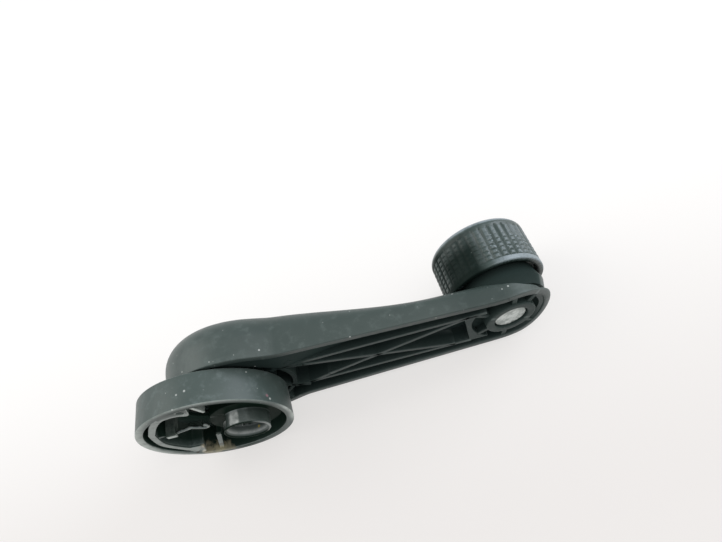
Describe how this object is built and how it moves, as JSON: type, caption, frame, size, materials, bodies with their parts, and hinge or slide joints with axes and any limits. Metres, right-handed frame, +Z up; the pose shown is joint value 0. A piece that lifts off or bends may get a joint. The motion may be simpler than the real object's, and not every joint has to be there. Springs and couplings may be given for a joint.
{
  "type": "window crank handle",
  "caption": "Window crank handle with a hollow ribbed arm, a knurled knob that turns on a pin, and a round base ring that slides to lock its splined hub.",
  "frame": {"origin": "on the ground plane, under the middle of the box of the handle as it lies on its side", "axes": "+X along the handle from its hub to its knob, +Z up, -Y towards the door side of the handle"},
  "size_m": [0.1386, 0.0442, 0.0501],
  "materials": {
    "arm_plastic": "fine moulded grain, worn and dusty",
    "hub_plastic": "smooth moulding, rubbed",
    "ring_plastic": "smooth moulding with light worn edges",
    "knob_plastic": "moulded knurl, satin where it is held",
    "pin_metal": "dull plated steel with white bloom",
    "spring_steel": "oiled spring steel",
    "washer_nylon": "natural nylon"
  },
  "bodies": {
    "arm": {"crank_arm": "arm_plastic", "spline_hub": "hub_plastic", "knob_pin": "pin_metal", "thrust_washer": "washer_nylon", "wave_washer": "spring_steel", "retaining_clip": "spring_steel"},
    "ring": {"lock_ring": "ring_plastic", "lock_spring": "spring_steel"},
    "knob": {"knob_grip": "knob_plastic", "knob_bush": "washer_nylon", "knob_cap": "knob_plastic"}
  },
  "joints": [
    {"name": "ring_slide", "type": "slide", "parent": "arm", "child": "ring", "axis": [0.9961, 0, -0.0887], "range_m": [0, 0.01035]},
    {"name": "knob_spin", "type": "hinge", "parent": "arm", "child": "knob", "pos_m": [0.05208, 0.00963, 0.01653], "axis": [0.1507, -0.9885, -0.0134], "continuous": true}
  ]
}
